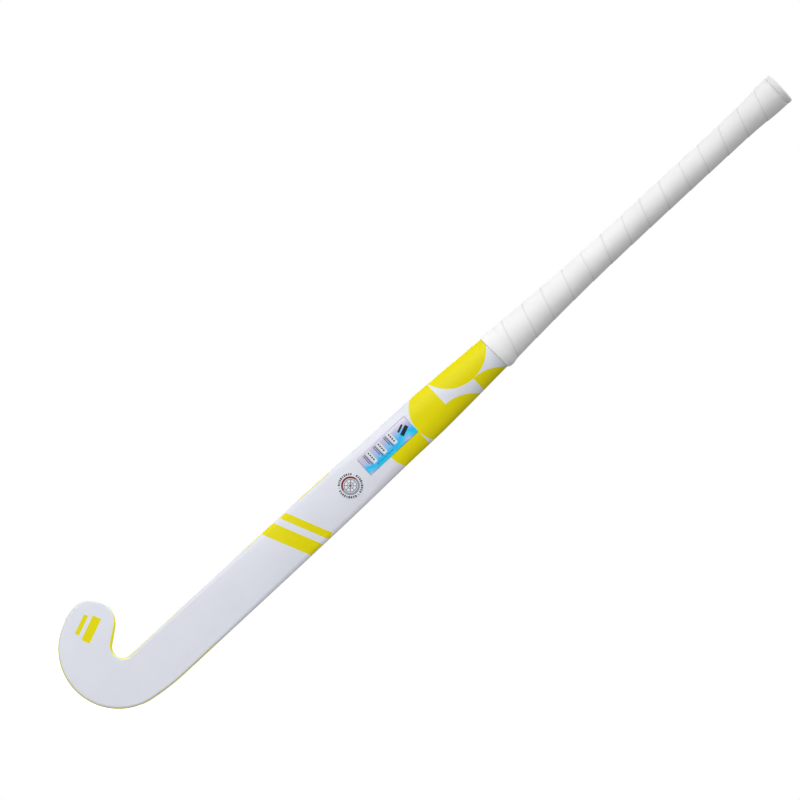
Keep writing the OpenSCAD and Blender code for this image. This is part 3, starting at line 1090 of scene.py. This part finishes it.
def sprayed_lacquer(name):
    """Yellow on the head that thins out in a spray up the shaft"""
    material, tree = new_material(name)
    height = node(tree, "SeparateXYZ", {"Vector": object_place(tree)}).outputs["Z"]
    cloud = mapped(tree, noise(tree, 60.0), 0.2, 0.8, -0.003, 0.003)
    drops = mapped(tree, noise(tree, 2600.0, 1.0), 0.25, 0.75, -0.0015, 0.0015)
    ragged = added(tree, added(tree, height, cloud), drops)
    low, high = (BASE_Z + SPRAY_LOW) * MM, (BASE_Z + SPRAY_HIGH) * MM
    fade = mapped(tree, ragged, low, high, 0, 1, interpolation_type="SMOOTHSTEP")
    lacquer_finish(tree, blend_colours(tree, fade, LEMON_LACQUER, WHITE_LACQUER))
    return material


def tape_material(name, base, rough, grain=0.18):
    """Matt cushioned tape with a fine grain, soft lumps and faint stains"""
    material, tree = new_material(name)
    stain = mapped(tree, noise(tree, 28.0, 5.0), 0.3, 0.75, 0.96, 1.02)
    pores = node(tree, "TexVoronoi", {"Vector": object_place(tree), "Scale": 1400.0})
    fine = noise(tree, 2200.0, 2.0)
    height = added(tree, pores.outputs["Distance"], fine)
    lumps = bump(tree, noise(tree, 110.0, 2.0), 0.25, 0.0009)
    principled(tree, {
        "Base Color": tinted(tree, base, stain),
        "Roughness": mapped(tree, noise(tree, 120.0), 0.3, 0.7, rough - 0.05, rough + 0.05),
        "Specular IOR Level": 0.15,
        "Normal": bump(tree, height, grain, 0.0002, Normal=lumps),
    })
    return material


def bare_laminate(name, base):
    """The laminate's inside: a mottled colour with a fine bump"""
    material, tree = new_material(name)
    mottle = mapped(tree, noise(tree, 300.0, 4.0), 0.3, 0.7, 0.9, 1.06)
    principled(tree, {
        "Base Color": tinted(tree, base, mottle),
        "Roughness": 0.5,
        "Normal": bump(tree, noise(tree, 1500.0), 0.2, 0.0002),
    })
    return material


# Colours of the foil from its toe side to its heel side, each after its place on the ramp. They are
# the foil's diffraction sheen painted into its colour, a painted reflection that stays in place
# whatever the light
FOIL_SHEEN_STOPS = [
    (0.0, 200, 196, 214), (0.25, 190, 192, 226), (0.42, 120, 200, 255), (0.6, 14, 184, 255),
    (0.75, 0, 222, 255), (0.88, 112, 184, 255), (1.0, 226, 240, 252),
]
FOIL_CLOUD = 0.22


def foil_material(name):
    """Holographic foil: lilac that turns blue and cyan in patches, with fine lines. The colours are a
    painted reflection of the foil's diffraction sheen
    """
    material, tree = new_material(name)
    place = object_place(tree)
    axes = node(tree, "SeparateXYZ", {"Vector": place}).outputs
    low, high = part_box("foil_label")
    side = mapped(tree, axes["X"], low.x, high.x, -0.05, 0.85)
    cloud = mapped(tree, noise(tree, 60.0, 2.0), 0.3, 0.7, -FOIL_CLOUD, FOIL_CLOUD)
    lines = node(tree, "TexWave", {"Vector": place, "Scale": 900.0, "Distortion": 0.6},
                 wave_type="BANDS", bands_direction="Z")
    fine = mapped(tree, lines.outputs["Fac"], 0, 1, -0.05, 0.05)
    # The ramp paints the diffraction colours by place across the foil: painted reflection
    ramp = node(tree, "ValToRGB", {"Fac": added(tree, added(tree, side, cloud), fine)})
    elements = ramp.color_ramp.elements
    while len(elements) < len(FOIL_SHEEN_STOPS):
        elements.new(0.5)
    for element, (position, *tint) in zip(elements, FOIL_SHEEN_STOPS):
        element.position, element.color = position, colour(*tint)
    principled(tree, {
        "Base Color": ramp.outputs["Color"],
        "Metallic": 0.1,
        "Roughness": mapped(tree, cloud, -FOIL_CLOUD, FOIL_CLOUD, 0.25, 0.4),
        "Coat Weight": 0.2,
        "Coat Roughness": 0.1,
        "Normal": bump(tree, lines.outputs["Fac"], 0.05, 0.0001),
    })
    return material


def ink(name, base):
    """Printing ink with slightly uneven cover"""
    material, tree = new_material(name)
    cover = mapped(tree, noise(tree, 900.0, 4.0), 0.3, 0.7, 0.88, 1.08)
    principled(tree, {
        "Base Color": tinted(tree, base, cover),
        "Roughness": mapped(tree, cover, 0.88, 1.08, 0.5, 0.4),
        "Specular IOR Level": 0.3,
        "Normal": bump(tree, cover, 0.05, 0.0001),
    })
    return material


def woven_material(name, recess_shade, light, pitch, rough):
    """A weave of two yarn directions, a pitch in metres apart. Its colour follows the bump's height,
    so the low yarn between raised crossings is darker: the yarn pattern with painted shade in its
    recesses
    """
    material, tree = new_material(name)
    inputs = {"Vector": object_place(tree), "Scale": 1 / pitch}
    up = node(tree, "TexWave", inputs, bands_direction="Z").outputs["Fac"]
    across = node(tree, "TexWave", inputs, bands_direction="DIAGONAL").outputs["Fac"]
    weave = node(tree, "Math", {0: up, 1: across}, operation="MULTIPLY").outputs[0]
    principled(tree, {
        # The colour goes from the recess colour to the light one with the weave's height: painted
        # shade in the low parts of the weave
        "Base Color": blend_colours(tree, weave, recess_shade, light),
        "Roughness": rough,
        "Normal": bump(tree, weave, 0.4, 0.0003),
    })
    return material


def foam_material(name, base):
    material, tree = new_material(name)
    cells = node(tree, "TexVoronoi", {"Vector": object_place(tree), "Scale": 700.0})
    depth = cells.outputs["Distance"]
    # The base colour darkened to 0.55 fills the cell pits, which are low in the bump: painted shade in
    # the foam's pores
    recess_shade = tuple(0.55 * c for c in base[:3]) + (1.0,)
    principled(tree, {
        "Base Color": blend_colours(tree, mapped(tree, depth, 0.0, 0.6, 0.0, 1.0), recess_shade, base),
        "Roughness": 0.9,
        "Normal": bump(tree, depth, 0.6, 0.0005),
    })
    return material


def dress_hidden_nodes():
    """Materials for the CAD pieces inside the stick, which keep their CAD shape"""
    carbon = woven_material(
        "carbon_braid", (0.01, 0.01, 0.012, 1), (0.06, 0.06, 0.065, 1), pitch=0.002, rough=0.35
    )
    knit = woven_material(
        "underlay_knit", (0.45, 0.45, 0.44, 1), (0.75, 0.75, 0.73, 1), pitch=0.0008, rough=0.9
    )
    finishes = {
        "head_core": foam_material("head_foam", colour(226, 205, 140)),
        "handle_plug": foam_material("plug_foam", colour(205, 170, 120)),
        "toe_side_tube": carbon,
        "heel_side_tube": carbon,
        "grip_underlay": knit,
    }
    for name, material in finishes.items():
        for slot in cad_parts[name].material_slots:
            slot.material = material


# Camera, light and floor


# Rise of the shaft in the picture, the picture's middle as (x, height), and its width in metres
SHAFT_RISE = math.radians(42.8)
VIEW_CENTRE = (-29.2, 434.6)
VIEW_WIDTH = 0.8


def make_camera():
    """A long lens square to the playing face"""
    right = Vector((math.sin(SHAFT_RISE), 0, math.cos(SHAFT_RISE)))
    up = Vector((-right.z, 0, right.x))
    data = bpy.data.cameras.new("camera")
    data.sensor_width, data.lens = 36, 540
    data.clip_end = 50
    camera = new_object("camera", data)
    away = VIEW_WIDTH * data.lens / data.sensor_width
    place = Vector((VIEW_CENTRE[0] * MM, -FACE_Y * MM - away, (VIEW_CENTRE[1] + BASE_Z) * MM))
    turn = Matrix((right, up, (0, -1, 0))).transposed().to_4x4()
    camera.matrix_world = Matrix.Translation(place) @ turn
    bpy.context.scene.camera = camera


def area_light(name, place, target, size, power):
    """A softbox of (width, height), which the camera doesn't see"""
    data = bpy.data.lights.new(name, "AREA")
    data.shape, data.energy = "RECTANGLE", power
    data.size, data.size_y = size
    light = new_object(name, data)
    light.location = place
    light.rotation_euler = (Vector(target) - Vector(place)).to_track_quat("-Z", "Z").to_euler()
    light.visible_camera = False


def make_world(strength):
    """Even white light, and white where the camera looks past the floor"""
    world = bpy.data.worlds.new("studio")
    world.use_nodes = True
    bpy.context.scene.world = world
    tree = world.node_tree
    tree.nodes.clear()
    seen = node(tree, "LightPath").outputs["Is Camera Ray"]
    level = mapped(tree, seen, 0, 1, strength, 1.0)
    sky = node(tree, "Background", {"Color": (1, 1, 1, 1), "Strength": level})
    out = node(tree, "OutputWorld")
    tree.links.new(sky.outputs[0], out.inputs["Surface"])


def floor_material():
    """Pale floor that looks white, but throws little light back up"""
    material, tree = new_material("floor_pale")
    grain = mapped(tree, noise(tree, 2.0), 0.3, 0.7, 0.44, 0.46)
    seen = node(tree, "LightPath").outputs["Is Camera Ray"]
    principled(tree, {
        "Base Color": grey(tree, grain),
        "Roughness": 0.9,
        "Specular IOR Level": 0.1,
        "Emission Color": (1, 1, 1, 1),
        "Emission Strength": mapped(tree, seen, 0, 1, 0.0, 0.8),
    })
    return material


FLOOR_BELOW_HOOK, FLOOR_HALF = 15, 1600


def make_floor():
    """A floor a little below the hook, because the stick is held by its grip"""
    level = BASE_Z - FLOOR_BELOW_HOOK
    sides = np.array([(-1, -1), (1, -1), (1, 1), (-1, 1)]) * FLOOR_HALF
    corners = np.column_stack([sides, np.full(len(sides), level)])
    mesh = bpy.data.meshes.new("floor")
    mesh.from_pydata((corners * MM).tolist(), [], [(0, 1, 2, 3)])
    mesh.materials.append(floor_material())
    floor = new_object("floor", mesh)


def make_pieces():
    """Every visual piece, with the materials of its colours in order"""
    white = lacquer("white_lacquer", WHITE_LACQUER, gloss=0.2)
    yellow = lacquer("yellow_lacquer", YELLOW_LACQUER, gloss=0.13)
    sprayed = sprayed_lacquer("sprayed_lacquer")
    make_stick([white, yellow, sprayed, bare_laminate("bare_laminate", (0.03, 0.03, 0.03, 1))])
    tape = tape_material("grip_tape_white", colour(243, 243, 243), rough=0.7)
    # The seam's colour, a little darker than the tape's, is painted shade in the seam's groove
    make_grip([tape, tape_material("grip_seam_shade", colour(232, 232, 229), rough=0.8)])
    # The band's second colour is a dark brown painted shadow along its lower edge
    make_band([tape, tape_material("band_edge_shadow", colour(128, 120, 108), rough=0.8)])
    make_cap([tape_material("cap_rubber", colour(238, 238, 238), rough=0.55, grain=0.08)])
    make_foil([
        foil_material("holographic_foil"),
        ink("label_ink", colour(22, 24, 30)),
        ink("label_white", colour(232, 236, 240)),
    ])
    make_seal([
        white,
        ink("seal_ink", colour(48, 44, 52)),
        ink("seal_grey", colour(150, 152, 158)),
        ink("seal_red", colour(128, 26, 42)),
    ])
    dress_hidden_nodes()


def make_studio():
    middle, foot = (0, 0, -0.36), (0, 0, -0.8)
    make_camera()
    make_world(strength=0.34)
    area_light("key", (-0.62, -0.68, -0.3), middle, size=(0.5, 1.8), power=9)
    area_light("back", (-0.6, 2.1, 0.1), middle, size=(0.9, 1.6), power=26)
    area_light("top", (0, 0, 3.2), foot, size=(2, 2), power=60)
    make_floor()
    bpy.context.scene.view_settings.view_transform = "Standard"


make_pieces()
make_studio()
